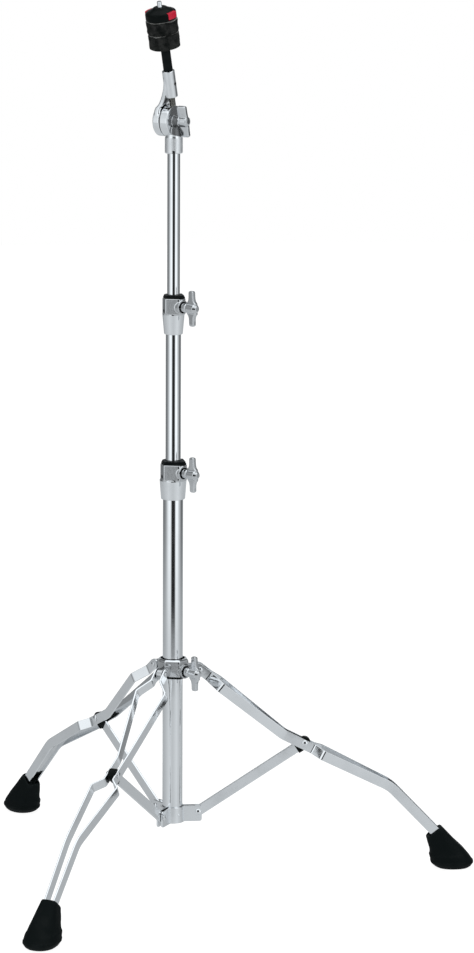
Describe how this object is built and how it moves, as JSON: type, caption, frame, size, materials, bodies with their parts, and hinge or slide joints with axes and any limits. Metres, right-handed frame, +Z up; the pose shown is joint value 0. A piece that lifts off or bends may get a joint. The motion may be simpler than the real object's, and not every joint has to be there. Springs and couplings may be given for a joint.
{
  "type": "straight cymbal stand",
  "caption": "Straight cymbal stand with a double braced folding tripod, telescoping tubes held by wing bolt clamps, a tilter, felts and a quick release mate.",
  "frame": {"origin": "on the floor, under the middle of the part's box; the tubes stand 89.86 mm from it along -X", "axes": "+Z up along the tubes; +X from the tubes towards leg 1; legs 2 and 3 follow at 120 degree steps, counter-clockwise from above"},
  "size_m": [0.59, 0.6764, 1.1044],
  "materials": {
    "chrome": "mirror chrome plate on steel",
    "casting": "chrome plate on a die casting, a little satin",
    "nylon": "black nylon",
    "black_plastic": "black moulded plastic",
    "red_plastic": "glossy red plastic",
    "rubber": "black rubber",
    "felt": "dark charcoal felt",
    "rod": "plated, greyish brass",
    "black_steel": "black oxide"
  },
  "bodies": {
    "base": {"base_tube": "chrome", "bracket_plate_1": "casting", "bracket_plate_2": "casting", "bracket_plate_3": "casting", "bracket_rivet_1": "chrome", "bracket_rivet_2": "chrome", "bracket_rivet_3": "chrome", "lower_clamp_casting": "casting", "lower_clamp_bushing": "nylon"},
    "stay_1": {"stay_1": "chrome", "stay_cap_1": "black_plastic"},
    "stay_2": {"stay_2": "chrome", "stay_cap_2": "black_plastic"},
    "stay_3": {"stay_3": "chrome", "stay_cap_3": "black_plastic"},
    "leg_1": {"leg_1_strip_left": "chrome", "leg_1_strip_right": "chrome", "stay_rivet_1": "chrome", "collar_rivet_1": "chrome", "foot_1": "rubber"},
    "leg_2": {"leg_2_strip_left": "chrome", "leg_2_strip_right": "chrome", "stay_rivet_2": "chrome", "collar_rivet_2": "chrome", "foot_2": "rubber"},
    "leg_3": {"leg_3_strip_left": "chrome", "leg_3_strip_right": "chrome", "stay_rivet_3": "chrome", "collar_rivet_3": "chrome", "foot_3": "rubber"},
    "collar": {"collar_body": "casting", "collar_bushing": "nylon"},
    "collar_bolt": {"collar_wing_bolt": "casting"},
    "lower_bolt": {"lower_wing_bolt": "casting"},
    "middle_slider": {"middle_glide": "nylon"},
    "middle_section": {"middle_tube": "chrome", "upper_clamp_casting": "casting", "upper_clamp_bushing": "nylon"},
    "upper_bolt": {"upper_wing_bolt": "casting"},
    "upper_slider": {"upper_glide": "nylon"},
    "upper_section": {"upper_tube": "chrome", "tilter_base": "casting", "tilter_friction_disc": "nylon"},
    "tilter_bolt": {"tilter_wing_bolt": "casting"},
    "tilter_arm": {"tilter_arm": "casting", "rod_set_screw": "black_steel", "tilter_rod": "rod", "felt_sleeve": "nylon", "lower_felt": "felt"},
    "upper_felt": {"upper_felt": "felt"},
    "mate": {"mate_body": "black_plastic"},
    "button_right": {"mate_button_right": "red_plastic"},
    "button_left": {"mate_button_left": "red_plastic"}
  },
  "joints": [
    {"name": "fold", "type": "hinge", "parent": "base", "child": "stay_1", "pos_m": [-0.05736, 0, 0.079], "axis": [0, -1, 0], "range_deg": [-5, 46]},
    {"name": "stay_2_fold", "type": "hinge", "parent": "base", "child": "stay_2", "pos_m": [-0.10611, 0.02815, 0.079], "axis": [0.866, 0.5, 0], "range_deg": [-5.5, 46.5]},
    {"name": "stay_3_fold", "type": "hinge", "parent": "base", "child": "stay_3", "pos_m": [-0.10611, -0.02815, 0.079], "axis": [-0.866, 0.5, 0], "range_deg": [-5.5, 46.5]},
    {"name": "leg_1_fold", "type": "hinge", "parent": "stay_1", "child": "leg_1", "pos_m": [0.07754, 0, 0.1666], "axis": [0, -1, 0], "range_deg": [-90, 10]},
    {"name": "leg_2_fold", "type": "hinge", "parent": "stay_2", "child": "leg_2", "pos_m": [-0.17356, 0.14497, 0.1666], "axis": [0.866, 0.5, 0], "range_deg": [-90, 10]},
    {"name": "leg_3_fold", "type": "hinge", "parent": "stay_3", "child": "leg_3", "pos_m": [-0.17356, -0.14497, 0.1666], "axis": [-0.866, 0.5, 0], "range_deg": [-90, 10]},
    {"name": "collar_fold", "type": "hinge", "parent": "leg_1", "child": "collar", "pos_m": [-0.05566, 0, 0.2645], "axis": [0, -1, 0], "range_deg": [-5, 44]},
    {"name": "collar_bolt_turn", "type": "hinge", "parent": "collar", "child": "collar_bolt", "pos_m": [-0.08986, 0, 0.2645], "axis": [0.6524, -0.7578, 0], "range_deg": [-180, 180]},
    {"name": "lower_bolt_turn", "type": "hinge", "parent": "base", "child": "lower_bolt", "pos_m": [-0.08986, 0, 0.5172], "axis": [0.6524, -0.7578, 0], "range_deg": [-180, 180]},
    {"name": "middle_slide", "type": "slide", "parent": "base", "child": "middle_slider", "axis": [0, 0, 1], "range_m": [-0.15, 0.13]},
    {"name": "middle_swivel", "type": "hinge", "parent": "middle_slider", "child": "middle_section", "pos_m": [-0.08986, 0, 0.4], "axis": [0, 0, 1], "range_deg": [-180, 180]},
    {"name": "upper_bolt_turn", "type": "hinge", "parent": "middle_section", "child": "upper_bolt", "pos_m": [-0.08986, 0, 0.7255], "axis": [0.6524, -0.7578, 0], "range_deg": [-180, 180]},
    {"name": "upper_slide", "type": "slide", "parent": "middle_section", "child": "upper_slider", "axis": [0, 0, 1], "range_m": [-0.165, 0.11]},
    {"name": "upper_swivel", "type": "hinge", "parent": "upper_slider", "child": "upper_section", "pos_m": [-0.08986, 0, 0.65], "axis": [0, 0, 1], "range_deg": [-180, 180]},
    {"name": "tilter_bolt_turn", "type": "hinge", "parent": "upper_section", "child": "tilter_bolt", "pos_m": [-0.08986, 0, 0.955], "axis": [0.808, -0.5891, 0], "range_deg": [-180, 180]},
    {"name": "tilt", "type": "hinge", "parent": "upper_section", "child": "tilter_arm", "pos_m": [-0.08986, 0, 0.955], "axis": [0.808, -0.5891, 0], "range_deg": [-100, 75]},
    {"name": "mate_slide", "type": "slide", "parent": "tilter_arm", "child": "mate", "axis": [-0.1429, -0.196, 0.9701], "range_m": [0, 0.045]},
    {"name": "upper_felt_slide", "type": "slide", "parent": "tilter_arm", "child": "upper_felt", "axis": [-0.1429, -0.196, 0.9701], "range_m": [0, 0.0275]},
    {"name": "button_right_press", "type": "slide", "parent": "mate", "child": "button_right", "axis": [-0.6997, 0.7133, 0.041], "range_m": [0, 0.0028], "stiffness_N_per_m": 600, "springref_m": -0.001},
    {"name": "button_left_press", "type": "slide", "parent": "mate", "child": "button_left", "axis": [0.6997, -0.7133, -0.041], "range_m": [0, 0.0028], "stiffness_N_per_m": 600, "springref_m": -0.001}
  ],
  "couplings": [
    {"joint": "stay_2_fold", "follows": "fold", "ratio": 1},
    {"joint": "stay_3_fold", "follows": "fold", "ratio": 1},
    {"joint": "leg_1_fold", "follows": "fold", "ratio": -1.9425},
    {"joint": "leg_2_fold", "follows": "fold", "ratio": -1.9425},
    {"joint": "leg_3_fold", "follows": "fold", "ratio": -1.9425},
    {"joint": "collar_fold", "follows": "fold", "ratio": 0.9425},
    {"joint": "upper_felt_slide", "follows": "mate_slide", "ratio": 0.6}
  ]
}
